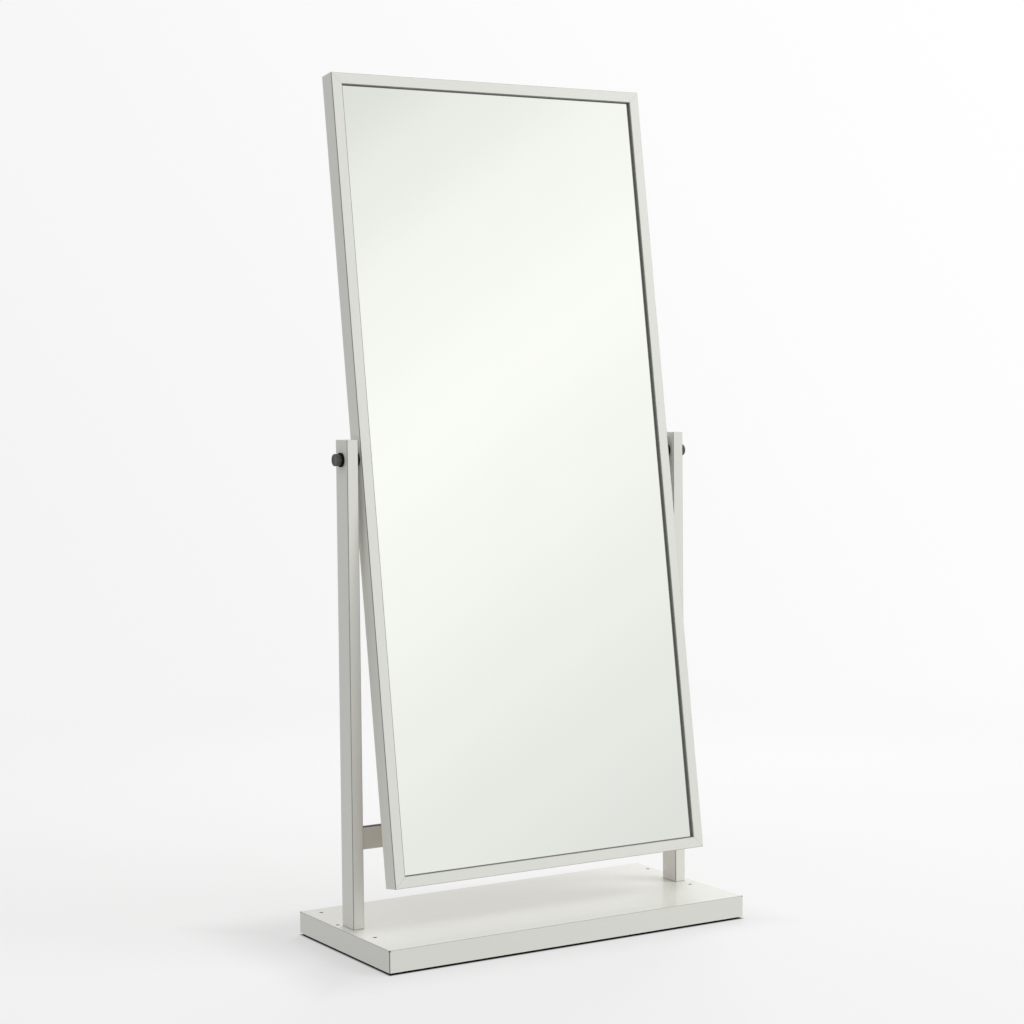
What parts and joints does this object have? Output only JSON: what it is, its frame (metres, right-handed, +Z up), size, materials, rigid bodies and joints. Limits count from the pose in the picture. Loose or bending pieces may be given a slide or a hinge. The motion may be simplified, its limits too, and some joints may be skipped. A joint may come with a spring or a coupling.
{
  "type": "cheval floor mirror",
  "caption": "Tall framed mirror that tilts between two posts on a flat weighted base, clamped by a round knob at each pivot.",
  "frame": {"origin": "on the floor, under the middle of the base", "axes": "+X to the right seen from the front, +Y to the back, +Z up"},
  "size_m": [0.75, 0.348, 1.5596],
  "materials": {
    "cover_paint": "satin powder coat on folded steel sheet",
    "post_paint": "satin powder coat on steel tube",
    "frame_paint": "satin powder coat on hollow section",
    "chipboard": "raw chipboard",
    "ballast_steel": "mill scale steel",
    "zinc_steel": "zinc plated",
    "dark_screw": "blackened steel",
    "foot_rubber": "matt rubber",
    "bush_nylon": "moulded nylon",
    "dark_strip": "extruded plastic strip",
    "key_zinc": "die cast, unfinished",
    "gasket_rubber": "matt extruded lining",
    "mirror_silver": "silvered float glass",
    "foam_tape": "double-sided foam tape",
    "hardboard": "smooth fibreboard",
    "black_washer": "hard rubber",
    "knob_plastic": "turned black knob, slight sheen"
  },
  "bodies": {
    "stand": {"base_cover": "cover_paint", "base_core": "chipboard", "ballast_plate": "ballast_steel", "ballast_screws": "zinc_steel", "feet": "foot_rubber", "foot_screws": "zinc_steel", "cover_screws": "dark_screw", "left_post": "post_paint", "right_post": "post_paint", "left_post_cap": "post_paint", "right_post_cap": "post_paint", "left_post_block": "ballast_steel", "right_post_block": "ballast_steel", "left_post_bush": "bush_nylon", "right_post_bush": "bush_nylon", "bolt_washers": "zinc_steel", "post_bolts": "zinc_steel", "cross_rail": "post_paint", "rail_strip": "dark_strip"},
    "mirror_panel": {"frame_bottom": "frame_paint", "frame_top": "frame_paint", "frame_left": "frame_paint", "frame_right": "frame_paint", "bottom_left_corner_key": "key_zinc", "bottom_right_corner_key": "key_zinc", "top_left_corner_key": "key_zinc", "top_right_corner_key": "key_zinc", "corner_key_screws": "zinc_steel", "glazing_gasket": "gasket_rubber", "mirror_glass": "mirror_silver", "mounting_tape": "foam_tape", "backboard": "hardboard", "backboard_screws": "zinc_steel", "left_pivot_insert": "zinc_steel", "right_pivot_insert": "zinc_steel", "left_spacer": "black_washer", "right_spacer": "black_washer"},
    "left_washer": {"left_washer": "black_washer"},
    "right_washer": {"right_washer": "black_washer"},
    "left_knob": {"left_knob": "knob_plastic", "left_stud": "zinc_steel"},
    "right_knob": {"right_knob": "knob_plastic", "right_stud": "zinc_steel"}
  },
  "joints": [
    {"name": "tilt", "type": "hinge", "parent": "stand", "child": "mirror_panel", "pos_m": [0, 0.0115, 0.874], "axis": [-1, 0, 0], "range_deg": [-5.4, 81.9]},
    {"name": "left_knob_travel", "type": "slide", "parent": "mirror_panel", "child": "left_washer", "axis": [-1, 0, 0], "range_m": [0, 0.00125]},
    {"name": "left_knob_turn", "type": "hinge", "parent": "left_washer", "child": "left_knob", "pos_m": [-0.373, 0.0115, 0.874], "axis": [-1, 0, 0], "range_deg": [0, 360]},
    {"name": "right_knob_travel", "type": "slide", "parent": "mirror_panel", "child": "right_washer", "axis": [1, 0, 0], "range_m": [0, 0.00125]},
    {"name": "right_knob_turn", "type": "hinge", "parent": "right_washer", "child": "right_knob", "pos_m": [0.373, 0.0115, 0.874], "axis": [1, 0, 0], "range_deg": [0, 360]}
  ],
  "couplings": [
    {"joint": "left_knob_turn", "follows": "left_knob_travel", "rad_per_m": 5026.5},
    {"joint": "right_knob_turn", "follows": "right_knob_travel", "rad_per_m": 5026.5}
  ]
}
